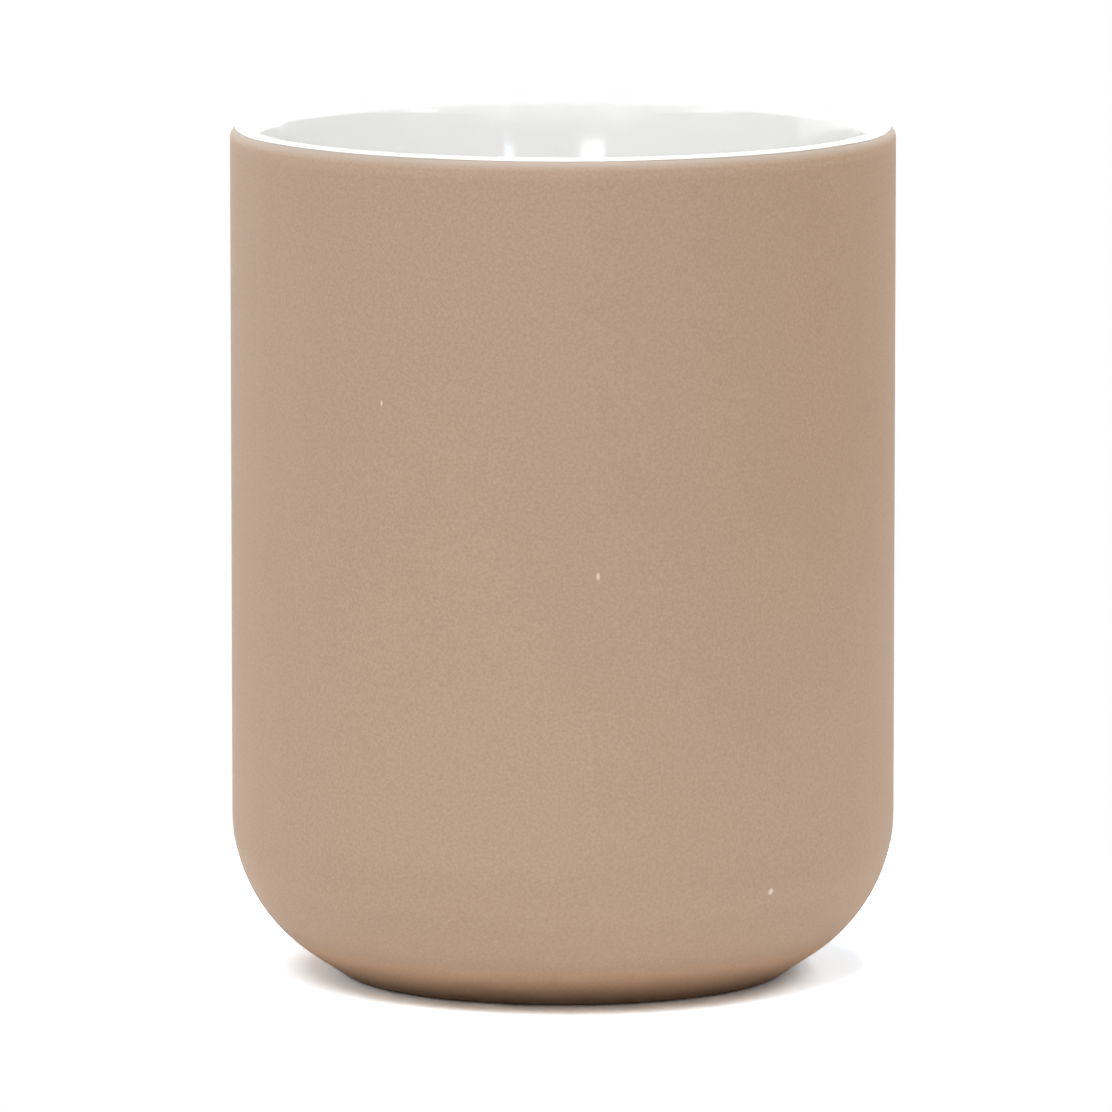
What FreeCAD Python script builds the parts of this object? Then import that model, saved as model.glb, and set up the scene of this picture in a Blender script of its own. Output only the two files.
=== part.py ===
import FreeCAD, Part
import enum
import math
import os

import Sketcher
from FreeCAD import Vector

# A plain round bathroom tumbler, in millimetres: +Z is up and the origin is the centre of the
# circle that the foot ring stands on. The fired clay body carries three thin layers: a white glaze
# inside and over the lip, a matte coat outside, and a white glaze in the recess under the base.
# Every piece is turned about Z from a half section, so each layer follows the clay at its own thickness.

DRIVING_SIZES = (
    ("outer_diameter", 80.0, "outside of the coat on the straight wall"),
    ("overall_height", 102.8, "ground to the top of the glazed lip"),
    ("lip_thickness", 3.6, "wall at the lip, with coat and glaze"),
    ("lip_thinning", 1.8, "how much thicker the wall is below the lip's flare"),
    ("flare_depth", 20.0, "height over which the inside leans out to the lip"),
    ("lip_outer_share", 0.42, "outer lip rounding, as a share of the clay lip"),
    ("lip_inner_share", 0.54, "inner lip rounding, as a share of the clay lip"),
    ("inner_corner_radius", 14.0, "clay curve from the inside wall to the floor"),
    ("floor_thickness", 5.0, "clay between the base recess and the inside floor"),
    ("base_curve_radius", 19.8, "outside curve from the wall down to the base slope"),
    ("base_curve_angle", 56.0, "turn of that curve, in degrees"),
    ("base_slope_length", 5.4, "straight slope of the clay from that curve in to the foot ring"),
    ("foot_height", 0.22, "ground to the low end of the clay base slope"),
    ("foot_width", 4.5, "radial width of the foot ring"),
    ("foot_edge_radius", 0.4, "rounding of the foot ring's two edges"),
    ("recess_depth", 1.8, "depth of the recess inside the foot ring"),
    ("recess_corner_radius", 1.0, "curve from the recess wall to its ceiling"),
    ("coat_thickness", 0.2, "matte outside coat"),
    ("coat_edge_angle", 52.0, "where the coat ends on the outer lip rounding, in degrees"),
    ("glaze_thickness", 0.25, "white glaze"),
    ("edge_room_share", 0.8, "most of the foot's height or recess's wall that a rounding takes"),
)

WORKED_OUT_SIZES = (
    ("outer_radius", "outer_diameter / 2"),
    ("clay_top", "overall_height - glaze_thickness"),
    ("clay_lip", "lip_thickness - coat_thickness - glaze_thickness"),
    ("lip_outer_radius", "clay_lip * lip_outer_share"),
    ("lip_inner_radius", "clay_lip * lip_inner_share"),
    ("lip_outer_centre", "outer_radius - coat_thickness - lip_outer_radius"),
    ("lip_inner_centre", "outer_radius - coat_thickness - clay_lip + lip_inner_radius"),
    ("coat_lip_radius", "lip_outer_radius + coat_thickness"),
    ("lip_outer_level", "clay_top - lip_outer_radius"),
    ("coat_edge_level", "lip_outer_level + coat_lip_radius * sin(coat_edge_angle)"),
    ("glaze_edge_level", "lip_outer_level + lip_outer_radius * sin(coat_edge_angle)"),
    ("clay_inside_radius", "outer_radius - coat_thickness - clay_lip - lip_thinning"),
    ("clay_floor_level", "recess_depth + floor_thickness"),
    ("base_centre", "outer_radius - base_curve_radius"),
    ("clay_base_radius", "base_curve_radius - coat_thickness"),
    ("base_curve_end", "base_centre + clay_base_radius * cos(base_curve_angle)"),
    ("base_curve_end_level", "foot_height + base_slope_length * cos(base_curve_angle)"),
    ("base_centre_level", "base_curve_end_level + clay_base_radius * sin(base_curve_angle)"),
    ("foot_radius", "base_curve_end - base_slope_length * sin(base_curve_angle)"),
    ("foot_rounding", "min(foot_edge_radius; foot_height * edge_room_share)"),
    ("recess_rounding", "min(recess_corner_radius; (recess_depth - foot_rounding) * edge_room_share)"),
    ("recess_radius", "foot_radius - foot_width"),
    ("recess_corner_centre", "recess_radius - recess_rounding"),
)

QUARTER_TURN = 90.0
HALF_TURN = 180.0
FULL_TURN = 360.0


class Point(enum.IntEnum):
    """The numbers that a section gives to the ends and the centre of a line or arc."""

    FIRST = 1
    LAST = 2
    CENTRE = 3


class Axis(enum.IntEnum):
    """The numbers that a section gives to its own two axes."""

    GROUND = -1
    TURNING = -2


FIRST, LAST, CENTRE = Point
ORIGIN = (Axis.GROUND, FIRST)


def make_sheet(doc):
    """The sheet of sizes: driving sizes as plain numbers, then the sizes worked out from them."""
    sheet = doc.addObject("Spreadsheet::Sheet", "Sizes")
    row = 0
    for alias, value, note in DRIVING_SIZES:
        row += 1
        sheet.set(f"A{row}", note)
        sheet.set(f"B{row}", str(value))
        sheet.setAlias(f"B{row}", alias)
    for alias, formula in WORKED_OUT_SIZES:
        row += 1
        sheet.set(f"A{row}", alias.replace("_", " "))
        sheet.set(f"B{row}", "=" + formula)
        sheet.setAlias(f"B{row}", alias)
    doc.recompute()
    return sheet


class Profile:
    """A half section in a sketch: x is the distance from the turning axis, y the height."""

    def __init__(self, sketch, sheet):
        self.sketch = sketch
        self.sheet = sheet

    def line(self, start, end):
        return self.sketch.addGeometry(Part.LineSegment(Vector(*start), Vector(*end)), False)

    def arc(self, centre, radius, from_angle, to_angle):
        circle = Part.Circle(Vector(*centre), Vector(0, 0, 1), radius)
        span = (math.radians(from_angle), math.radians(to_angle))
        return self.sketch.addGeometry(Part.ArcOfCircle(circle, *span), False)

    def rule(self, kind, *where):
        return self.sketch.addConstraint(Sketcher.Constraint(kind, *where))

    def smooth(self, *ends):
        """Each pair of line or arc ends meets with a shared tangent."""
        for (one, one_end), (other, other_end) in ends:
            self.rule("Tangent", one, one_end, other, other_end)

    def corner(self, *ends):
        """Each pair of line or arc ends meets at a corner."""
        for (one, one_end), (other, other_end) in ends:
            self.rule("Coincident", one, one_end, other, other_end)

    def level(self, *lines):
        for line in lines:
            self.rule("Horizontal", line)

    def upright(self, *lines):
        for line in lines:
            self.rule("Vertical", line)

    def concentric(self, *arcs):
        for one, other in arcs:
            self.rule("Coincident", one, CENTRE, other, CENTRE)

    def size(self, alias, kind, *where):
        """A dimension bound to the sheet's cell of that name."""
        index = self.rule(kind, *where, self.sheet.get(alias))
        name = f"{alias}_{index}"
        self.sketch.renameConstraint(index, name)
        self.sketch.setExpression(f"Constraints.{name}", f"Sizes.{alias}")

    def out(self, alias, geometry, end):
        """Distance from the turning axis."""
        self.size(alias, "DistanceX", *ORIGIN, geometry, end)

    def up(self, alias, geometry, end):
        """Height over the ground."""
        self.size(alias, "DistanceY", *ORIGIN, geometry, end)

    def radius(self, alias, arc):
        self.size(alias, "Radius", arc)


def turned_piece(doc, sheet, label, draw):
    """A body turned about Z from the half section that draw puts into its sketch."""
    body = doc.addObject("PartDesign::Body", label)
    body.Label = label
    body.Placement = FreeCAD.Placement()
    plane = next(item for item in body.Origin.OriginFeatures if item.Role == "XZ_Plane")
    sketch = body.newObject("Sketcher::SketchObject", f"{label}_section")
    sketch.AttachmentSupport = [(plane, "")]
    sketch.MapMode = "FlatFace"
    doc.recompute()
    draw(Profile(sketch, sheet), sheet)
    turned = body.newObject("PartDesign::Revolution", f"{label}_turned")
    turned.Profile = sketch
    turned.ReferenceAxis = (sketch, ["V_Axis"])
    turned.Angle = FULL_TURN
    body.Tip = turned
    doc.recompute()
    return body


def flare_shape(sheet):
    """Radius of the inside flare in the clay, and its turn where it meets the inner lip rounding."""
    reach = (sheet.flare_depth ** 2 + sheet.lip_thinning ** 2) / (2 * sheet.lip_thinning)
    return sheet.lip_inner_radius + reach, math.degrees(math.asin(sheet.flare_depth / reach))


def inside_run(profile, sheet, layer, from_angle):
    """The chain from from_angle on the outer lip to the inside floor, standing off the clay by layer."""
    flare_radius, flare_turn = flare_shape(sheet)
    outer_centre = (sheet.lip_outer_centre, sheet.lip_outer_level)
    inner_centre = (sheet.lip_inner_centre, sheet.clay_top - sheet.lip_inner_radius)
    flare_centre = (sheet.clay_inside_radius + flare_radius, inner_centre[1] - sheet.flare_depth)
    corner_centre = (
        sheet.clay_inside_radius - sheet.inner_corner_radius,
        sheet.clay_floor_level + sheet.inner_corner_radius,
    )
    top = sheet.clay_top + layer
    wall = sheet.clay_inside_radius - layer
    floor = sheet.clay_floor_level + layer
    meeting = HALF_TURN - flare_turn
    chain = {
        "lip_outer": profile.arc(outer_centre, sheet.lip_outer_radius + layer, from_angle, QUARTER_TURN),
        "lip_top": profile.line((outer_centre[0], top), (inner_centre[0], top)),
        "lip_inner": profile.arc(inner_centre, sheet.lip_inner_radius + layer, QUARTER_TURN, meeting),
        "flare": profile.arc(flare_centre, flare_radius + layer, meeting, HALF_TURN),
        "wall": profile.line((wall, flare_centre[1]), (wall, corner_centre[1])),
        "corner": profile.arc(corner_centre, sheet.inner_corner_radius - layer, -QUARTER_TURN, 0),
        "floor": profile.line((corner_centre[0], floor), (0, floor)),
    }
    profile.smooth(
        ((chain["lip_outer"], LAST), (chain["lip_top"], FIRST)),
        ((chain["lip_top"], LAST), (chain["lip_inner"], FIRST)),
        ((chain["lip_inner"], LAST), (chain["flare"], FIRST)),
        ((chain["flare"], LAST), (chain["wall"], FIRST)),
        ((chain["wall"], LAST), (chain["corner"], LAST)),
        ((chain["corner"], FIRST), (chain["floor"], FIRST)),
    )
    profile.level(chain["lip_top"], chain["floor"])
    profile.upright(chain["wall"])
    return chain


def size_inside_run(profile, chain):
    """The dimensions that set the clay's inside, from the inner lip rounding to the floor."""
    profile.up("clay_top", chain["lip_top"], FIRST)
    profile.radius("lip_outer_radius", chain["lip_outer"])
    profile.radius("lip_inner_radius", chain["lip_inner"])
    profile.out("lip_inner_centre", chain["lip_inner"], CENTRE)
    profile.out("clay_inside_radius", chain["wall"], FIRST)
    profile.size("flare_depth", "DistanceY", chain["flare"], CENTRE, chain["lip_inner"], CENTRE)
    profile.radius("inner_corner_radius", chain["corner"])
    profile.up("clay_floor_level", chain["floor"], FIRST)


def draw_stoneware_body(profile, sheet):
    """Recess, foot ring, base slope and curve, wall, lip, flared inside and floor of the clay."""
    ceiling_level = sheet.recess_depth
    recess = sheet.recess_radius
    foot = sheet.foot_radius
    edge = sheet.foot_rounding
    recess_centre = (sheet.recess_corner_centre, ceiling_level - sheet.recess_rounding)
    base_centre = (sheet.base_centre, sheet.base_centre_level)
    curve_end = (sheet.base_curve_end, sheet.base_curve_end_level)
    clay_radius = sheet.outer_radius - sheet.coat_thickness

    ceiling = profile.line((0, ceiling_level), (recess_centre[0], ceiling_level))
    recess_corner = profile.arc(recess_centre, sheet.recess_rounding, 0, QUARTER_TURN)
    recess_wall = profile.line((recess, recess_centre[1]), (recess, edge))
    inner_edge = profile.arc((recess + edge, edge), edge, HALF_TURN, HALF_TURN + QUARTER_TURN)
    contact = profile.line((recess + edge, 0), (foot - edge, 0))
    outer_edge = profile.arc((foot - edge, edge), edge, -QUARTER_TURN, 0)
    foot_wall = profile.line((foot, edge), (foot, sheet.foot_height))
    base_slope = profile.line((foot, sheet.foot_height), curve_end)
    base_curve = profile.arc(base_centre, sheet.clay_base_radius, -sheet.base_curve_angle, 0)
    wall = profile.line((clay_radius, base_centre[1]), (clay_radius, sheet.lip_outer_level))
    inside = inside_run(profile, sheet, 0, 0)
    middle = profile.line((0, sheet.clay_floor_level), (0, ceiling_level))

    profile.smooth(
        ((ceiling, LAST), (recess_corner, LAST)),
        ((recess_corner, FIRST), (recess_wall, FIRST)),
        ((recess_wall, LAST), (inner_edge, FIRST)),
        ((inner_edge, LAST), (contact, FIRST)),
        ((contact, LAST), (outer_edge, FIRST)),
        ((outer_edge, LAST), (foot_wall, FIRST)),
        ((base_slope, LAST), (base_curve, FIRST)),
        ((base_curve, LAST), (wall, FIRST)),
        ((wall, LAST), (inside["lip_outer"], FIRST)),
    )
    profile.corner(
        ((foot_wall, LAST), (base_slope, FIRST)),
        ((inside["floor"], LAST), (middle, FIRST)),
        ((middle, LAST), (ceiling, FIRST)),
    )
    profile.level(ceiling, contact)
    profile.upright(recess_wall, foot_wall, wall, middle)
    profile.rule("PointOnObject", middle, FIRST, Axis.TURNING)
    profile.rule("PointOnObject", contact, FIRST, Axis.GROUND)

    profile.up("recess_depth", ceiling, FIRST)
    profile.radius("recess_rounding", recess_corner)
    profile.radius("foot_rounding", inner_edge)
    profile.radius("foot_rounding", outer_edge)
    profile.size("foot_width", "DistanceX", recess_wall, FIRST, foot_wall, FIRST)
    profile.radius("clay_base_radius", base_curve)
    profile.out("base_centre", base_curve, CENTRE)
    profile.up("base_centre_level", base_curve, CENTRE)
    profile.up("foot_height", base_slope, FIRST)
    profile.size("base_slope_length", "Distance", base_slope)
    size_inside_run(profile, inside)


def draw_inner_glaze(profile, sheet):
    """A skin of even thickness over the clay from the coat's edge, round the lip, to the floor."""
    edge_angle = sheet.coat_edge_angle
    clay_side = inside_run(profile, sheet, 0, edge_angle)
    open_side = inside_run(profile, sheet, sheet.glaze_thickness, edge_angle)
    glaze_floor = sheet.clay_floor_level + sheet.glaze_thickness
    middle = profile.line((0, sheet.clay_floor_level), (0, glaze_floor))
    turn = Vector(math.cos(math.radians(edge_angle)), math.sin(math.radians(edge_angle)))
    centre = Vector(sheet.lip_outer_centre, sheet.lip_outer_level)
    clay_end = centre + turn * sheet.lip_outer_radius
    open_end = centre + turn * (sheet.lip_outer_radius + sheet.glaze_thickness)
    end_face = profile.line(open_end, clay_end)

    profile.corner(
        ((clay_side["floor"], LAST), (middle, FIRST)),
        ((middle, LAST), (open_side["floor"], LAST)),
        ((open_side["lip_outer"], FIRST), (end_face, FIRST)),
        ((end_face, LAST), (clay_side["lip_outer"], FIRST)),
    )
    for name in ("lip_outer", "lip_inner", "flare", "corner"):
        profile.concentric((clay_side[name], open_side[name]))
    profile.upright(middle)
    profile.rule("PointOnObject", middle, FIRST, Axis.TURNING)
    profile.rule("PointOnObject", clay_side["lip_outer"], CENTRE, end_face)

    size_inside_run(profile, clay_side)
    profile.out("lip_outer_centre", clay_side["lip_outer"], CENTRE)
    profile.up("glaze_edge_level", end_face, LAST)
    profile.size("glaze_thickness", "DistanceY", middle, FIRST, middle, LAST)


def draw_outer_coat(profile, sheet):
    """A skin of even thickness over the clay from the foot, up the base and wall, onto the lip."""
    thickness = sheet.coat_thickness
    base_centre = (sheet.base_centre, sheet.base_centre_level)
    lip_centre = (sheet.lip_outer_centre, sheet.lip_outer_level)
    base_angle = math.radians(sheet.base_curve_angle)
    lip_angle = math.radians(sheet.coat_edge_angle)
    off_slope = Vector(math.cos(base_angle), -math.sin(base_angle))
    up_lip = Vector(math.cos(lip_angle), math.sin(lip_angle))

    def skin(layer):
        """Base slope and curve, wall and lip rounding, off the clay by layer, with the two free ends."""
        base_radius = sheet.clay_base_radius + layer
        lip_radius = sheet.lip_outer_radius + layer
        wall_radius = sheet.outer_radius - thickness + layer
        low_end = Vector(sheet.foot_radius, sheet.foot_height) + off_slope * layer
        high_end = Vector(*lip_centre) + up_lip * lip_radius
        slope = profile.line(low_end, Vector(*base_centre) + off_slope * base_radius)
        base = profile.arc(base_centre, base_radius, -sheet.base_curve_angle, 0)
        wall = profile.line((wall_radius, base_centre[1]), (wall_radius, lip_centre[1]))
        lip = profile.arc(lip_centre, lip_radius, 0, sheet.coat_edge_angle)
        profile.smooth(
            ((slope, LAST), (base, FIRST)),
            ((base, LAST), (wall, FIRST)),
            ((wall, LAST), (lip, FIRST)),
        )
        profile.upright(wall)
        return slope, base, lip, low_end, high_end

    outer_slope, outer_base, outer_lip, outer_low, outer_high = skin(thickness)
    clay_slope, clay_base, clay_lip, clay_low, clay_high = skin(0)
    top_face = profile.line(outer_high, clay_high)
    foot_face = profile.line(clay_low, outer_low)
    profile.corner(
        ((outer_lip, LAST), (top_face, FIRST)),
        ((top_face, LAST), (clay_lip, LAST)),
        ((clay_slope, FIRST), (foot_face, FIRST)),
        ((foot_face, LAST), (outer_slope, FIRST)),
    )
    profile.concentric((outer_base, clay_base), (outer_lip, clay_lip))
    profile.rule("PointOnObject", outer_lip, CENTRE, top_face)
    profile.rule("Parallel", clay_slope, outer_slope)
    profile.rule("Perpendicular", clay_slope, foot_face)

    profile.out("base_centre", outer_base, CENTRE)
    profile.up("base_centre_level", outer_base, CENTRE)
    profile.radius("base_curve_radius", outer_base)
    profile.radius("clay_base_radius", clay_base)
    profile.up("lip_outer_level", outer_lip, CENTRE)
    profile.radius("coat_lip_radius", outer_lip)
    profile.up("coat_edge_level", top_face, FIRST)
    profile.up("foot_height", clay_slope, FIRST)
    profile.size("base_slope_length", "Distance", clay_slope)


def draw_base_glaze(profile, sheet):
    """A skin of even thickness on the recess's ceiling and corner, short of the bare foot ring."""
    thickness = sheet.glaze_thickness
    rounding = sheet.recess_rounding
    ceiling_level = sheet.recess_depth
    glaze_level = ceiling_level - thickness
    centre = (sheet.recess_corner_centre, ceiling_level - rounding)

    ceiling = profile.line((0, ceiling_level), (centre[0], ceiling_level))
    clay_corner = profile.arc(centre, rounding, 0, QUARTER_TURN)
    end_face = profile.line((centre[0] + rounding, centre[1]), (centre[0] + rounding - thickness, centre[1]))
    open_corner = profile.arc(centre, rounding - thickness, 0, QUARTER_TURN)
    open_face = profile.line((centre[0], glaze_level), (0, glaze_level))
    middle = profile.line((0, glaze_level), (0, ceiling_level))

    profile.smooth(
        ((ceiling, LAST), (clay_corner, LAST)),
        ((open_corner, LAST), (open_face, FIRST)),
    )
    profile.corner(
        ((clay_corner, FIRST), (end_face, FIRST)),
        ((end_face, LAST), (open_corner, FIRST)),
        ((open_face, LAST), (middle, FIRST)),
        ((middle, LAST), (ceiling, FIRST)),
    )
    profile.concentric((clay_corner, open_corner))
    profile.level(ceiling, open_face, end_face)
    profile.upright(middle)
    profile.rule("PointOnObject", middle, FIRST, Axis.TURNING)
    profile.rule("PointOnObject", clay_corner, CENTRE, end_face)

    profile.up("recess_depth", ceiling, FIRST)
    profile.out("recess_corner_centre", clay_corner, CENTRE)
    profile.radius("recess_rounding", clay_corner)
    profile.size("glaze_thickness", "DistanceY", middle, FIRST, middle, LAST)


PIECES = (
    ("stoneware_body", draw_stoneware_body),
    ("inner_glaze", draw_inner_glaze),
    ("outer_coat", draw_outer_coat),
    ("base_glaze", draw_base_glaze),
)


def check_document(doc, bodies):
    """Stop if any object failed or any piece isn't one sound solid."""
    for item in doc.Objects:
        if "Invalid" in item.State or "Error" in item.State:
            raise RuntimeError(f"{item.Label} failed: {item.State}")
        if item.TypeId == "Sketcher::SketchObject" and item.solve() != 0:
            raise RuntimeError(f"{item.Label} has constraints that disagree")
    for body in bodies:
        shape = body.Shape
        if shape.isNull() or not shape.isValid() or len(shape.Solids) != 1:
            raise RuntimeError(f"{body.Label} isn't one valid solid")


def main():
    doc = FreeCAD.newDocument("Tumbler")
    sheet = make_sheet(doc)
    bodies = [turned_piece(doc, sheet, label, draw) for label, draw in PIECES]
    doc.recompute()
    check_document(doc, bodies)
    os.makedirs("parts", exist_ok=True)
    for body in bodies:
        body.Shape.exportStep(os.path.join("parts", f"{body.Label}.step"))
        print(f"{body.Label}: {body.Shape.Volume:.1f} mm3")


main()
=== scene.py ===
import math

import bpy
import numpy as np
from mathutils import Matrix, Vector


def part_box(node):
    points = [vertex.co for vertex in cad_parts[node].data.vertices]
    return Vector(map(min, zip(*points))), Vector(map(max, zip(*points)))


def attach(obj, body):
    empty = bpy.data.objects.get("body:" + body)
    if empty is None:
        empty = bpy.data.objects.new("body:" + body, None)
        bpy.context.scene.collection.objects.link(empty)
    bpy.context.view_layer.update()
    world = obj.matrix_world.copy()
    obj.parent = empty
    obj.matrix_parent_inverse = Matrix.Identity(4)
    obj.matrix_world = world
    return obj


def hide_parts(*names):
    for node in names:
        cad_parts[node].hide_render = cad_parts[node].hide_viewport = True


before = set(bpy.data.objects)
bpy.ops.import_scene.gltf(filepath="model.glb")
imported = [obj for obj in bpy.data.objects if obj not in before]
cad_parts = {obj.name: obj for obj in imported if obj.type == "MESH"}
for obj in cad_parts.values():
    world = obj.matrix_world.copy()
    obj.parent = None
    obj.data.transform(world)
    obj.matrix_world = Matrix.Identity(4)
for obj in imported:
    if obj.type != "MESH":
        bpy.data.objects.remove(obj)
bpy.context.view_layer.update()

# A plain round bathroom tumbler: a fired clay body with a matte sand coat outside, white gloss glaze
# inside and over the lip, and white glaze in the recess under the base. Sizes are in metres.

MM = 0.001

# Sizes read from the boxes of the solid layers
coat_low, coat_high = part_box("outer_coat")
clay_low, clay_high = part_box("stoneware_body")
lining_low, lining_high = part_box("inner_glaze")
recess_low, recess_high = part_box("base_glaze")
OUTER_RADIUS = coat_high.x
CLAY_RADIUS = clay_high.x
RIM_TOP = lining_high.z
CLAY_TOP = clay_high.z
COAT_THICKNESS = OUTER_RADIUS - CLAY_RADIUS
GLAZE_THICKNESS = RIM_TOP - CLAY_TOP
CLAY_FLOOR = lining_low.z
RECESS_DEPTH = recess_high.z
RECESS_RADIUS = recess_high.x
RECESS_ROUNDING = recess_high.z - recess_low.z

# Sizes of the half section that no box gives, the same as in the solids, with angles in degrees
LIP_THICKNESS = 3.6 * MM
LIP_THINNING = 1.8 * MM
LIP_OUTER_SHARE = 0.42
LIP_INNER_SHARE = 0.54
FLARE_DEPTH = 20.0 * MM
INNER_CORNER_RADIUS = 14.0 * MM
BASE_CURVE_RADIUS = 19.8 * MM
BASE_CURVE_ANGLE = 56.0
BASE_SLOPE_LENGTH = 5.4 * MM
FOOT_HEIGHT = 0.22 * MM
FOOT_ROUNDING = 0.176 * MM
COAT_EDGE_ANGLE = 52.0

# Sizes worked out from those above
CLAY_LIP = LIP_THICKNESS - COAT_THICKNESS - GLAZE_THICKNESS
LIP_OUTER_RADIUS = CLAY_LIP * LIP_OUTER_SHARE
LIP_INNER_RADIUS = CLAY_LIP * LIP_INNER_SHARE
LIP_OUTER_CENTRE = (CLAY_RADIUS - LIP_OUTER_RADIUS, CLAY_TOP - LIP_OUTER_RADIUS)
LIP_INNER_CENTRE = (CLAY_RADIUS - CLAY_LIP + LIP_INNER_RADIUS, CLAY_TOP - LIP_INNER_RADIUS)
CLAY_INSIDE = CLAY_RADIUS - CLAY_LIP - LIP_THINNING
FLARE_REACH = (FLARE_DEPTH ** 2 + LIP_THINNING ** 2) / (2 * LIP_THINNING)
FLARE_RADIUS = LIP_INNER_RADIUS + FLARE_REACH
FLARE_MEETING = 180.0 - math.degrees(math.asin(FLARE_DEPTH / FLARE_REACH))
FLARE_CENTRE = (CLAY_INSIDE + FLARE_RADIUS, LIP_INNER_CENTRE[1] - FLARE_DEPTH)
INNER_CORNER_CENTRE = (CLAY_INSIDE - INNER_CORNER_RADIUS, CLAY_FLOOR + INNER_CORNER_RADIUS)
CLAY_BASE_RADIUS = BASE_CURVE_RADIUS - COAT_THICKNESS
BASE_TURN = math.radians(BASE_CURVE_ANGLE)
OFF_SLOPE = np.array((math.cos(BASE_TURN), -math.sin(BASE_TURN)))
DOWN_SLOPE = np.array((OFF_SLOPE[1], -OFF_SLOPE[0]))
FOOT_RADIUS = (
    OUTER_RADIUS - BASE_CURVE_RADIUS
    + CLAY_BASE_RADIUS * OFF_SLOPE[0]
    + BASE_SLOPE_LENGTH * DOWN_SLOPE[0]
)
FOOT_CORNER = np.array((FOOT_RADIUS, FOOT_HEIGHT))
BASE_CENTRE = FOOT_CORNER - BASE_SLOPE_LENGTH * DOWN_SLOPE - CLAY_BASE_RADIUS * OFF_SLOPE
RECESS_CENTRE = (RECESS_RADIUS - RECESS_ROUNDING, RECESS_DEPTH - RECESS_ROUNDING)

# How finely the turned pieces are divided
AROUND_COUNT = 360
SMALL_ARC_COUNT = 9
LIP_ARC_COUNT = 17
LONG_ARC_COUNT = 33
WALL_COUNT = 41
FLOOR_COUNT = 17
HIDDEN_COUNT = 9

# Faces that meet at more degrees than this keep a crisp edge
CRISP_ANGLE = 35.0

# Shares of a bake map
MAP_GAP_SHARE = 0.008
OPEN_FACE_SHARE = 0.94
CLAY_SIDE_SHARE = 0.06
FOOT_SHARE = 0.70
COVERED_SHARE = 0.10


def arc(centre, radius, first, last, count):
    """A stretch of a circle between two angles in degrees, as rows of (distance from axis, height)."""
    turn = np.radians(np.linspace(first, last, count))
    return np.column_stack((centre[0] + radius * np.cos(turn), centre[1] + radius * np.sin(turn)))


def straight(start, end, count):
    """Evenly spaced points from start to end, as rows of (distance from axis, height)."""
    share = np.linspace(0, 1, count)[:, None]
    return (1 - share) * np.array(start) + share * np.array(end)


def joined(*runs):
    """Runs laid end to end, with each meeting point kept once."""
    return np.vstack([run[:-1] for run in runs[:-1]] + [runs[-1]])


def outside_run(layer, wall_count):
    """The outside from the foot to the coat's edge on the lip: base slope, base curve, wall and outer
    lip rounding, each standing off the clay by layer."""
    radius = CLAY_RADIUS + layer
    slope_foot = FOOT_CORNER + layer * OFF_SLOPE
    return joined(
        straight(slope_foot, slope_foot - BASE_SLOPE_LENGTH * DOWN_SLOPE, SMALL_ARC_COUNT),
        arc(BASE_CENTRE, CLAY_BASE_RADIUS + layer, -BASE_CURVE_ANGLE, 0, LONG_ARC_COUNT),
        straight((radius, BASE_CENTRE[1]), (radius, LIP_OUTER_CENTRE[1]), wall_count),
        arc(LIP_OUTER_CENTRE, LIP_OUTER_RADIUS + layer, 0, COAT_EDGE_ANGLE, LIP_ARC_COUNT),
    )


def inside_run(layer, lip_from, wall_count):
    """The inside from an angle on the outer lip rounding to the middle of the floor: lip, flare, wall,
    corner and floor, each standing off the clay by layer."""
    wall = CLAY_INSIDE - layer
    floor = CLAY_FLOOR + layer
    return joined(
        arc(LIP_OUTER_CENTRE, LIP_OUTER_RADIUS + layer, lip_from, 90, LIP_ARC_COUNT),
        arc(LIP_INNER_CENTRE, LIP_INNER_RADIUS + layer, 90, FLARE_MEETING, LIP_ARC_COUNT),
        arc(FLARE_CENTRE, FLARE_RADIUS + layer, FLARE_MEETING, 180, LONG_ARC_COUNT),
        straight((wall, FLARE_CENTRE[1]), (wall, INNER_CORNER_CENTRE[1]), wall_count),
        arc(INNER_CORNER_CENTRE, INNER_CORNER_RADIUS - layer, 0, -90, LONG_ARC_COUNT),
        straight((INNER_CORNER_CENTRE[0], floor), (0, floor), FLOOR_COUNT),
    )


def recess_run(layer):
    """The base recess from its middle to the end of its corner, standing off the clay by layer."""
    ceiling = RECESS_DEPTH - layer
    return joined(
        straight((0, ceiling), (RECESS_CENTRE[0], ceiling), FLOOR_COUNT),
        arc(RECESS_CENTRE, RECESS_ROUNDING - layer, 90, 0, SMALL_ARC_COUNT),
    )


def foot_run():
    """The foot ring from the recess's corner to the base slope: two upright sides with rounded edges
    and a flat face between them that stands on the ground."""
    inner = RECESS_RADIUS + FOOT_ROUNDING
    outer = FOOT_RADIUS - FOOT_ROUNDING
    return joined(
        straight((RECESS_RADIUS, RECESS_CENTRE[1]), (RECESS_RADIUS, FOOT_ROUNDING), SMALL_ARC_COUNT),
        arc((inner, FOOT_ROUNDING), FOOT_ROUNDING, 180, 270, SMALL_ARC_COUNT),
        straight((inner, 0), (outer, 0), FLOOR_COUNT),
        arc((outer, FOOT_ROUNDING), FOOT_ROUNDING, -90, 0, SMALL_ARC_COUNT),
        straight((FOOT_RADIUS, FOOT_ROUNDING), (FOOT_RADIUS, FOOT_HEIGHT), SMALL_ARC_COUNT),
    )


def starts_on_axis(outline):
    return outline[0, 0] == 0


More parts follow.
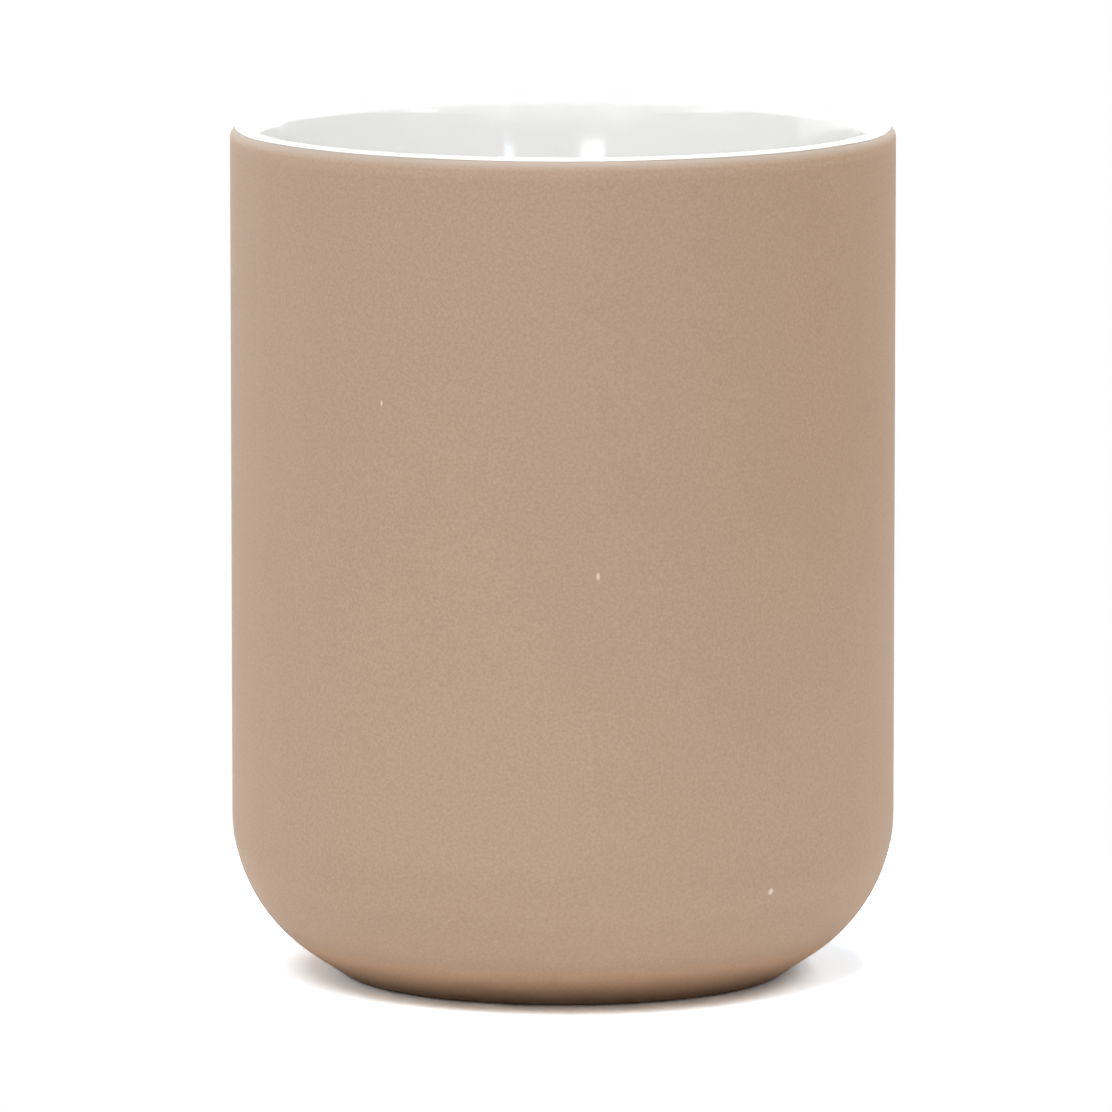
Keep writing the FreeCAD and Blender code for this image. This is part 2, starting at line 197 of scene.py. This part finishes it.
def turned_surface(outline):
    """An outline carried round Z: a point (r, h) at angle a is (r cos a, r sin a, h). An outline that
    starts on the axis also ends there, and closes with a fan at each pole. Any other is a loop, and its
    last ring joins its first. Gives the points and the faces."""
    turn = np.linspace(0, 2 * np.pi, AROUND_COUNT, endpoint=False)
    poled = starts_on_axis(outline)
    rings = outline[1:-1] if poled else outline
    radius, height = rings.T
    points = np.stack(
        (
            np.outer(radius, np.cos(turn)),
            np.outer(radius, np.sin(turn)),
            np.outer(height, np.ones(AROUND_COUNT)),
        ),
        axis=-1,
    ).reshape(-1, 3)
    here = np.arange(len(points)).reshape(len(rings), AROUND_COUNT)
    if not poled:
        here = np.vstack((here, here[:1]))
    side = np.roll(here, -1, axis=1)
    faces = np.stack((here[:-1], side[:-1], side[1:], here[1:]), axis=-1).reshape(-1, 4).tolist()
    if poled:
        low_pole = np.full(AROUND_COUNT, len(points))
        high_pole = low_pole + 1
        points = np.vstack((points, (0, 0, outline[0, 1]), (0, 0, outline[-1, 1])))
        faces += np.column_stack((low_pole, side[0], here[0])).tolist()
        faces += np.column_stack((here[-1], side[-1], high_pole)).tolist()
    return points, faces


def map_heights(runs):
    """Height of each outline point in the bake map: every run takes its share, by length along it, and
    a narrow gap after each run belongs to the edge that leads to the next."""
    heights, start = [], 0.0
    room = 1.0 - MAP_GAP_SHARE * len(runs)
    for run, share in runs:
        steps = np.linalg.norm(np.diff(run, axis=0), axis=1)
        along = np.concatenate(((0.0,), np.cumsum(steps)))
        heights.append(start + room * share * along / along[-1])
        start += room * share + MAP_GAP_SHARE
    return np.concatenate(heights)


def bake_map(outline, up):
    """The place of each face's corners in the bake map, in the order of the faces of turned_surface:
    across is the angle round Z, and up is the height in the map of each outline point."""
    poled = starts_on_axis(outline)
    across = np.arange(AROUND_COUNT) / AROUND_COUNT
    step = 1 / AROUND_COUNT
    ring_up = up[1:-1] if poled else np.append(up, 1.0)
    low_up, first_across = np.meshgrid(ring_up[:-1], across, indexing="ij")
    high_up = np.repeat(ring_up[1:, None], AROUND_COUNT, axis=1)
    next_across = first_across + step
    corners = (first_across, low_up, next_across, low_up, next_across, high_up, first_across, high_up)
    spots = np.stack(corners, axis=-1).reshape(-1, 2)
    if poled:
        middle, even = across + step / 2, np.ones(AROUND_COUNT)
        low_fan = (middle, up[0] * even, across + step, up[1] * even, across, up[1] * even)
        high_fan = (across, up[-2] * even, across + step, up[-2] * even, middle, up[-1] * even)
        fans = [np.stack(fan, axis=-1).reshape(-1, 2) for fan in (low_fan, high_fan)]
        spots = np.vstack((spots, *fans))
    return spots


def turned(name, runs, finish, replaced):
    """A piece turned from the runs of one outline, each given with its share of the bake map."""
    outline = np.vstack([run for run, share in runs])
    points, faces = turned_surface(outline)
    spots = bake_map(outline, map_heights(runs))
    mesh = bpy.data.meshes.new(name)
    mesh.from_pydata(points, [], faces)
    mesh.uv_layers.new(name="OFBake").uv.foreach_set("vector", spots.astype(np.float32).ravel())
    mesh.shade_smooth()
    mesh.set_sharp_from_angle(angle=math.radians(CRISP_ANGLE))
    mesh.materials.append(finish)
    piece = bpy.data.objects.new(name, mesh)
    bpy.context.scene.collection.objects.link(piece)
    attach(piece, "root")
    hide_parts(replaced)


class Value:
    """A socket of a node. Arithmetic on one that carries a number adds Math nodes to its node tree."""

    def __init__(self, nodes, socket):
        self.nodes = nodes
        self.socket = socket

    def maths(self, operation, other):
        return self.nodes.node("ShaderNodeMath", {"operation": operation}, {0: self, 1: other})

    def __add__(self, other):
        return self.maths("ADD", other)

    def __mul__(self, other):
        return self.maths("MULTIPLY", other)

    def at_least(self, other):
        return self.maths("MAXIMUM", other)

    __radd__ = __add__
    __rmul__ = __mul__


class Nodes:
    """The node tree of a new material or world, emptied and filled node by node."""

    def __init__(self, owner):
        self.owner = owner
        owner.use_nodes = True
        self.tree = owner.node_tree
        self.tree.nodes.clear()

    def node(self, kind, settings=None, inputs=None, output=0):
        """One node: its settings are set first, then its sockets by name or number. Gives one output."""
        made = self.tree.nodes.new(kind)
        for name, value in (settings or {}).items():
            setattr(made, name, value)
        for key, value in (inputs or {}).items():
            if isinstance(value, Value):
                self.tree.links.new(value.socket, made.inputs[key])
            else:
                made.inputs[key].default_value = value
        return Value(self, made.outputs[output]) if made.outputs else None

    def place(self):
        """Object coordinates, in metres."""
        return self.node("ShaderNodeTexCoord", output="Object")

    def along(self, axis):
        """One of the Object coordinates, X, Y or Z, in metres."""
        return self.node("ShaderNodeSeparateXYZ", None, {0: self.place()}, output=axis)

    def length(self, vector):
        return self.node("ShaderNodeVectorMath", {"operation": "LENGTH"}, {0: vector}, output="Value")

    def radius(self):
        """Distance from the axis, in metres."""
        inputs = {0: self.place(), 1: (1, 1, 0)}
        return self.length(self.node("ShaderNodeVectorMath", {"operation": "MULTIPLY"}, inputs))

    def noise(self, fineness, detail, roughness):
        """Smooth noise from 0 to 1 with features of about 1 / fineness metres."""
        inputs = {"Vector": self.place(), "Scale": fineness, "Detail": detail, "Roughness": roughness}
        return self.node("ShaderNodeTexNoise", None, inputs)

    def ramp(self, value, start, end):
        """A smooth step from 0, where value is start, to 1, where value is end."""
        inputs = {"Value": value, "From Min": start, "From Max": end}
        return self.node("ShaderNodeMapRange", {"interpolation_type": "SMOOTHSTEP"}, inputs)

    def band(self, value, below, above):
        """1 in a band of value that fades in along one ramp, below, and out along another, above."""
        return self.ramp(value, *above) * self.ramp(value, *below)

    def blend(self, share, first, second):
        """A colour between first and second."""
        return self.node("ShaderNodeMix", {"data_type": "RGBA"}, {0: share, 6: first, 7: second}, output=2)

    def tint(self, share, colour, tint):
        """A colour, multiplied by tint where share is 1."""
        settings = {"data_type": "RGBA", "blend_type": "MULTIPLY"}
        return self.node("ShaderNodeMix", settings, {0: share, 6: colour, 7: tint}, output=2)

    def bump(self, relief, depth, strength):
        """A normal that follows a relief of the given depth, in metres."""
        inputs = {"Height": relief, "Distance": depth, "Strength": strength}
        return self.node("ShaderNodeBump", None, inputs)

    def principled(self, inputs):
        """The one shader of a piece's finish, as the material's surface."""
        return self.show(self.node("ShaderNodeBsdfPrincipled", None, inputs))

    def seen(self):
        """1 for what the eye sees, straight, mirrored or through glass, and 0 for the light that falls."""
        kinds = ("Camera", "Glossy", "Transmission")
        camera, glossy, transmission = (
            self.node("ShaderNodeLightPath", output=f"Is {kind} Ray") for kind in kinds
        )
        return camera.at_least(glossy).at_least(transmission)

    def show(self, surface, output="ShaderNodeOutputMaterial"):
        """Makes surface what the material or world shows, and gives that material or world."""
        self.node(output, None, {"Surface": surface})
        return self.owner


def new_finish(name):
    return Nodes(bpy.data.materials.new(name))


# Colours and tints, linear
WHITE = (1, 1, 1, 1)
SAND_DARK = (0.472, 0.324, 0.225, 1)
SAND_LIGHT = (0.546, 0.384, 0.271, 1)
SAND_THIN = (0.41, 0.34, 0.28, 1)
# The next three tints paint light and shade on the coat: painted shade on one side, a painted shaded belt
# on the base curve, and a painted warm glow of bounced light over the foot
SIDE_SHADE_TINT = (0.97, 0.925, 0.865, 1)
BELT_SHADE_TINT = (0.95, 0.95, 0.95, 1)
BOUNCE_GLOW_TINT = (1.21, 1.15, 1.06, 1)
PALE_TINT = (1.07, 1.09, 1.11, 1)
FLECK_CREAM = (0.80, 0.70, 0.61, 1)
GLAZE_WHITE = (0.92, 0.92, 0.915, 1)
GLAZE_SHADE = (0.89, 0.89, 0.88, 1)
GLAZE_THIN = (0.54, 0.50, 0.46, 1)
CLAY_PALE = (0.70, 0.64, 0.55, 1)
CLAY_DARK = (0.56, 0.49, 0.40, 1)
CLAY_SPECK = (0.16, 0.11, 0.08, 1)

# Noises of the finishes: features per metre, steps of finer detail, strength of each finer step
GRIT = (3200, 2, 0.55)
CLOUDS = (90, 2, 0.5)
RIPPLE = (140, 2, 0.5)
DRIFT = (45, 3, 0.5)
SMEAR = (400, 2, 0.5)
GRAIN = (1500, 4, 0.65)
SPECKS = (900, 1, 0.5)

# How much of the coat's tone is grit and how much is clouds, and the range of the two that gives the tone
GRIT_SHARE = 0.92
CLOUD_SHARE = 0.08
TONE_RANGE = (0.25, 0.75)

# Ranges of noise that give the drift of the glaze and the specks in the clay
DRIFT_RANGE = (0.3, 0.7)
SPECK_RANGE = (0.70, 0.76)
SPECK_SHARE = 0.8

# Roughness of each finish: its lowest value, and how much its noise adds
COAT_ROUGHNESS = 0.58
COAT_ROUGHNESS_RISE = 0.14
GLAZE_ROUGHNESS = 0.05
GLAZE_ROUGHNESS_RISE = 0.05
CLAY_ROUGHNESS = 0.78
CLAY_ROUGHNESS_RISE = 0.15

# Relief of each finish: its depth, and the share of it that shows
GRIT_DEPTH = 0.02 * MM
GRIT_DEPTH_SHARE = 0.6
RIPPLE_DEPTH = 0.05 * MM
RIPPLE_DEPTH_SHARE = 0.25
GRAIN_DEPTH = 0.05 * MM
GRAIN_DEPTH_SHARE = 0.8

# Gloss of each finish
COAT_IOR = 1.45
GLAZE_IOR = 1.52
CLAY_SPECULAR_SHARE = 0.25

# Pale flecks in the coat: direction round the axis in degrees from the front, height, half width and
# half height
FLECKS = (
    (-32.3, 73.25 * MM, 0.15 * MM, 0.38 * MM),
    (5.9, 53.5 * MM, 0.24 * MM, 0.50 * MM),
    (38.8, 14.45 * MM, 0.38 * MM, 0.46 * MM),
)
FLECK_DEPTH = 1.0 * MM

# A fleck fades in between these shares of its half sizes
FLECK_EDGE_SHARES = (1.2, 0.5)

# Painted shade: one side of the coat is tinted a little darker and warmer, more towards the top, for how
# the light falls on that side: ranges of X and of height
SIDE_SHADE_ASIDE = (8 * MM, 36 * MM)
SIDE_SHADE_ABOVE = (30 * MM, 72 * MM)

# Heights over which painted shade, a slightly darker belt of the coat on the base curve, fades in and out
BELT_SHADE_BELOW = (6.4 * MM, 8.4 * MM)
BELT_SHADE_ABOVE = (14.0 * MM, 10.5 * MM)

# Heights over which painted light, a warmer and brighter glow of light bounced between coat and floor,
# fades in and out on the turn over the foot
BOUNCE_GLOW_BELOW = (0.0 * MM, 3.4 * MM)
BOUNCE_GLOW_ABOVE = (6.2 * MM, 4.2 * MM)

# Heights over which the coat turns a little paler as it grows thinner under the lip, and back again
PALE_BELOW = (LIP_OUTER_CENTRE[1] - 1.3 * MM, LIP_OUTER_CENTRE[1] - 0.2 * MM)
PALE_ABOVE = (LIP_OUTER_CENTRE[1] + 0.9 * MM, LIP_OUTER_CENTRE[1] + 0.1 * MM)

# Heights where the coat starts to thin out on the lip, and where it ends
COAT_EDGE_LEVELS = (
    LIP_OUTER_CENTRE[1],
    LIP_OUTER_CENTRE[1] + (LIP_OUTER_RADIUS + COAT_THICKNESS) * math.sin(math.radians(COAT_EDGE_ANGLE)),
)

# Angle on the outer lip rounding from which the glaze thins towards the coat's edge
GLAZE_THINS_ANGLE = 62.0

# Distances from the axis where the glaze starts to thin out on the lip, and where it meets the coat
GLAZE_EDGE_RADII = tuple(
    LIP_OUTER_CENTRE[0] + (LIP_OUTER_RADIUS + GLAZE_THICKNESS) * math.cos(math.radians(angle))
    for angle in (GLAZE_THINS_ANGLE, COAT_EDGE_ANGLE)
)


def fleck_mask(finish):
    """1 on the flecks and 0 elsewhere: each is a small upright ellipse on the wall, facing outwards."""
    mask = 0.0
    for direction, height, half_width, half_height in FLECKS:
        turn = math.radians(direction)
        drop = max(0.0, BASE_CENTRE[1] - height)
        radius = BASE_CENTRE[0] + math.sqrt(BASE_CURVE_RADIUS ** 2 - drop ** 2)
        inputs = {
            "Vector": finish.place(),
            "Location": (radius * math.sin(turn), -radius * math.cos(turn), height),
            "Rotation": (0, 0, turn),
            "Scale": (half_width, FLECK_DEPTH, half_height),
        }
        local = finish.node("ShaderNodeMapping", {"vector_type": "TEXTURE"}, inputs)
        mask = finish.ramp(finish.length(local), *FLECK_EDGE_SHARES) + mask
    return mask


def sand_coat_finish():
    """Matte sand coat: a fine gritty grain, faint clouds of tone, painted shade on one side, more towards
    the top, a painted darker belt of shade on the base curve, a painted warm glow of bounced light on the
    turn over the foot, a paler band and a greyer edge where it thins out over the lip, and a few pale
    flecks."""
    finish = new_finish("sand_coat_finish")
    grit = finish.noise(*GRIT)
    mottle = grit * GRIT_SHARE + finish.noise(*CLOUDS) * CLOUD_SHARE
    height = finish.along("Z")
    painted_side_shade = finish.ramp(finish.along("X"), *SIDE_SHADE_ASIDE) * finish.ramp(height, *SIDE_SHADE_ABOVE)
    colour = finish.blend(finish.ramp(mottle, *TONE_RANGE), SAND_DARK, SAND_LIGHT)
    # Painted shade on one side of the coat, darker and warmer towards the top
    colour = finish.tint(painted_side_shade, colour, SIDE_SHADE_TINT)
    # Painted shade: a slightly darker belt on the base curve
    colour = finish.tint(finish.band(height, BELT_SHADE_BELOW, BELT_SHADE_ABOVE), colour, BELT_SHADE_TINT)
    # Painted light: a warm glow of bounced light on the turn over the foot
    colour = finish.tint(finish.band(height, BOUNCE_GLOW_BELOW, BOUNCE_GLOW_ABOVE), colour, BOUNCE_GLOW_TINT)
    colour = finish.tint(finish.band(height, PALE_BELOW, PALE_ABOVE), colour, PALE_TINT)
    colour = finish.blend(finish.ramp(height, *COAT_EDGE_LEVELS), colour, SAND_THIN)
    colour = finish.blend(fleck_mask(finish), colour, FLECK_CREAM)
    return finish.principled({
        "Base Color": colour,
        "Roughness": COAT_ROUGHNESS + grit * COAT_ROUGHNESS_RISE,
        "Normal": finish.bump(grit, GRIT_DEPTH, GRIT_DEPTH_SHARE),
        "IOR": COAT_IOR,
    })


def white_glaze_finish():
    """White gloss glaze with a slow ripple that bends its reflections, a faint drift of tone and a thin
    edge that lets the sand show through."""
    finish = new_finish("white_glaze_finish")
    drift = finish.ramp(finish.noise(*DRIFT), *DRIFT_RANGE)
    colour = finish.blend(drift, GLAZE_SHADE, GLAZE_WHITE)
    colour = finish.blend(finish.ramp(finish.radius(), *GLAZE_EDGE_RADII), colour, GLAZE_THIN)
    return finish.principled({
        "Base Color": colour,
        "Roughness": GLAZE_ROUGHNESS + finish.noise(*SMEAR) * GLAZE_ROUGHNESS_RISE,
        "Normal": finish.bump(finish.noise(*RIPPLE), RIPPLE_DEPTH, RIPPLE_DEPTH_SHARE),
        "IOR": GLAZE_IOR,
    })


def bare_clay_finish():
    """Unglazed fired clay: a sandy grain and small dark iron specks."""
    finish = new_finish("bare_clay_finish")
    grain = finish.noise(*GRAIN)
    specks = finish.ramp(finish.noise(*SPECKS), *SPECK_RANGE)
    colour = finish.blend(grain, CLAY_DARK, CLAY_PALE)
    colour = finish.blend(specks * SPECK_SHARE, colour, CLAY_SPECK)
    return finish.principled({
        "Base Color": colour,
        "Roughness": CLAY_ROUGHNESS + grain * CLAY_ROUGHNESS_RISE,
        "Normal": finish.bump(grain, GRAIN_DEPTH, GRAIN_DEPTH_SHARE),
        "Specular IOR Level": CLAY_SPECULAR_SHARE,
    })


SAND_FINISH = sand_coat_finish()
GLAZE_FINISH = white_glaze_finish()
CLAY_FINISH = bare_clay_finish()


def matte_coat_skin():
    """The coat as a closed skin: its outer face upwards, then its clay side back down."""
    runs = (
        (outside_run(COAT_THICKNESS, WALL_COUNT), OPEN_FACE_SHARE),
        (outside_run(0, HIDDEN_COUNT)[::-1], CLAY_SIDE_SHARE),
    )
    turned("matte_coat_skin", runs, SAND_FINISH, "outer_coat")


def gloss_lining_skin():
    """The inner glaze as a closed skin: its clay side from the floor up to the lip, then its open face."""
    runs = (
        (inside_run(0, COAT_EDGE_ANGLE, HIDDEN_COUNT)[::-1], CLAY_SIDE_SHARE),
        (inside_run(GLAZE_THICKNESS, COAT_EDGE_ANGLE, WALL_COUNT), OPEN_FACE_SHARE),
    )
    turned("gloss_lining_skin", runs, GLAZE_FINISH, "inner_glaze")


def recess_glaze_skin():
    """The base glaze as a closed skin: its open face outwards, then its clay side back to the axis."""
    runs = ((recess_run(GLAZE_THICKNESS), OPEN_FACE_SHARE), (recess_run(0)[::-1], CLAY_SIDE_SHARE))
    turned("recess_glaze_skin", runs, GLAZE_FINISH, "base_glaze")


def clay_body_form():
    """The clay body: recess, foot ring, outside and inside, from axis to axis."""
    runs = (
        (recess_run(0)[:-1], COVERED_SHARE),
        (foot_run(), FOOT_SHARE),
        (outside_run(0, HIDDEN_COUNT)[1:-LIP_ARC_COUNT], COVERED_SHARE),
        (inside_run(0, 0, HIDDEN_COUNT), COVERED_SHARE),
    )
    turned("clay_body_form", runs, CLAY_FINISH, "stoneware_body")


matte_coat_skin()
gloss_lining_skin()
recess_glaze_skin()
clay_body_form()


# Stage: floor, light and camera

# Shade of the floor: in the light that it gives back, in gloss, and to the camera in red, green and blue
FLOOR_GREY = 0.90
FLOOR_MIRRORED = 1.35
FLOOR_SEEN = (2.7, 3.2, 3.7)

# Half the floor's width, and the distances from the axis between which it turns plain white
FLOOR_REACH = 4.0
FLOOR_PLAIN = (75 * MM, 110 * MM)

# Strength of the even light from all round
SURROUND_LIGHT = 0.02


def floor_finish():
    """A pale floor. What the camera sees of it is brighter, so that it reads as white outside the
    tumbler's shadow, and further off it is plain white."""
    finish = new_finish("floor_finish")
    camera = finish.node("ShaderNodeLightPath", output="Is Camera Ray")
    plain_shade = finish.seen() * (FLOOR_MIRRORED - FLOOR_GREY) + FLOOR_GREY
    shades = [camera * (bright - FLOOR_MIRRORED) + plain_shade for bright in FLOOR_SEEN]
    colour = finish.node("ShaderNodeCombineColor", None, dict(enumerate(shades)))
    lit = finish.node("ShaderNodeBsdfDiffuse", None, {"Color": colour})
    white = finish.node("ShaderNodeEmission", None, {"Strength": 1.0})
    plain = finish.ramp(finish.radius(), *FLOOR_PLAIN) * finish.seen()
    return finish.show(finish.node("ShaderNodeMixShader", None, {0: plain, 1: lit, 2: white}))


def make_floor():
    """A flat square under the foot ring."""
    corners = [(x * FLOOR_REACH, y * FLOOR_REACH, 0) for x, y in ((-1, -1), (1, -1), (1, 1), (-1, 1))]
    mesh = bpy.data.meshes.new("floor")
    mesh.from_pydata(corners, [], [(0, 1, 2, 3)])
    mesh.materials.append(floor_finish())
    mesh.materials[0].cycles.emission_sampling = "NONE"
    floor = bpy.data.objects.new("floor", mesh)
    bpy.context.scene.collection.objects.link(floor)


def make_world():
    """A pale surround that gives a little even light, and that eye and gloss see as white."""
    world = bpy.data.worlds.new("surround")
    bpy.context.scene.world = world
    nodes = Nodes(world)
    lighting = nodes.node("ShaderNodeBackground", None, {"Color": WHITE, "Strength": SURROUND_LIGHT})
    white = nodes.node("ShaderNodeBackground", None, {"Color": WHITE, "Strength": 1.0})
    mixed = nodes.node("ShaderNodeMixShader", None, {0: nodes.seen(), 1: lighting, 2: white})
    nodes.show(mixed, "ShaderNodeOutputWorld")


# Where the lamps aim, their colours, and their roles: to light surfaces, to show in gloss, or both
MIDDLE = Vector((0, 0, 50 * MM))
PLAIN = (1, 1, 1)
COOL = (0.85, 0.95, 1.0)
BOTH, LIGHT, GLOSS = "both", "light", "gloss"

# Lamps: name, azimuth, elevation, distance, width, height, radiance, colour, role
LAMPS = (
    ("overhead_box", 0, 90, 1.1, 0.5, 0.5, 5.3, PLAIN, BOTH),
    ("top_box", 0, 78, 1.1, 0.5, 0.5, 9.8, PLAIN, BOTH),
    ("front_box", 0, 60, 1.1, 0.5, 0.4, 5.2, PLAIN, BOTH),
    ("left_box", -70, 58, 1.1, 0.5, 0.4, 3.5, PLAIN, BOTH),
    ("right_box", 105, 44, 1.1, 0.5, 0.4, 3.5, PLAIN, LIGHT),
    ("left_back_box", -130, 14, 1.1, 1.0, 0.5, 1.5, PLAIN, BOTH),
    ("right_back_box", 138, 16, 1.1, 1.0, 0.5, 0.6, PLAIN, LIGHT),
    ("window_lamp", -12, 9.5, 1.3, 0.22, 0.14, 6.0, PLAIN, GLOSS),
    ("strip_lamp", 21.5, 9.5, 1.3, 0.08, 0.10, 8.0, COOL, GLOSS),
    ("left_tube", -60, 16.5, 1.25, 0.22, 0.02, 12.0, PLAIN, GLOSS),
    ("right_tube", 57, 16.5, 1.25, 0.24, 0.02, 12.0, PLAIN, GLOSS),
    ("right_glow", 150, 10, 1.3, 0.6, 0.25, 1.5, PLAIN, GLOSS),
)

# Sky boxes: a ring of pale panels, end to end, that shows in the glaze just under the lip
SKY_COUNT = 8
SKY_ELEVATION = 23.5
SKY_DISTANCE = 1.3
SKY_WIDTH = 2 * SKY_DISTANCE * math.tan(math.pi / SKY_COUNT)
SKY_HEIGHT = 0.36
SKY_RADIANCE = 1.7


def direction_to(azimuth, elevation):
    """The way from the tumbler to a lamp or the camera: azimuth in degrees to the right of the front,
    elevation in degrees above level."""
    turn, rise = math.radians(azimuth), math.radians(elevation)
    return Vector((math.sin(turn) * math.cos(rise), -math.cos(turn) * math.cos(rise), math.sin(rise)))


def softbox(name, azimuth, elevation, distance, width, height, radiance, colour, role):
    """A rectangular lamp that faces the tumbler, as bright as radiance times white. Its role says
    whether it lights surfaces, shows in their gloss, or both."""
    light = bpy.data.lights.new(name, "AREA")
    light.shape = "RECTANGLE"
    light.size, light.size_y = width, height
    light.energy = radiance * math.pi * width * height
    light.color = colour
    lamp = bpy.data.objects.new(name, light)
    way = direction_to(azimuth, elevation)
    lamp.location = MIDDLE + way * distance
    lamp.rotation_mode = "QUATERNION"
    lamp.rotation_quaternion = way.to_track_quat("Z", "Y")
    lamp.visible_diffuse = role != GLOSS
    lamp.visible_glossy = role != LIGHT
    lamp.visible_camera = False
    bpy.context.scene.collection.objects.link(lamp)


def make_sky():
    """The ring of sky boxes, evenly spaced round the tumbler."""
    for number in range(SKY_COUNT):
        azimuth = number * 360 / SKY_COUNT
        place = (azimuth, SKY_ELEVATION, SKY_DISTANCE)
        softbox(f"sky_box_{number}", *place, SKY_WIDTH, SKY_HEIGHT, SKY_RADIANCE, PLAIN, GLOSS)


make_floor()
make_world()
for lamp in LAMPS:
    softbox(*lamp)
make_sky()

# Camera: a long lens, eight degrees above level, aimed a little left of the axis
CAMERA_DISTANCE = 1.5
CAMERA_ELEVATION = 7.96
CAMERA_AIM = Vector((-0.84 * MM, 0, 50.37 * MM))
CAMERA_CLIP_RATIO = 10
SENSOR_WIDTH = 36.0
LENS = 402.3


def make_camera():
    """The camera looks at the front from straight ahead and a little above."""
    data = bpy.data.cameras.new("camera")
    data.sensor_width = SENSOR_WIDTH
    data.lens = LENS
    data.clip_start = CAMERA_DISTANCE / CAMERA_CLIP_RATIO
    data.clip_end = CAMERA_DISTANCE * CAMERA_CLIP_RATIO
    camera = bpy.data.objects.new("camera", data)
    way = direction_to(0, CAMERA_ELEVATION)
    camera.location = CAMERA_AIM + way * CAMERA_DISTANCE
    camera.rotation_mode = "QUATERNION"
    camera.rotation_quaternion = way.to_track_quat("Z", "Y")
    bpy.context.scene.collection.objects.link(camera)
    bpy.context.scene.camera = camera


make_camera()
bpy.context.scene.view_settings.view_transform = "Standard"
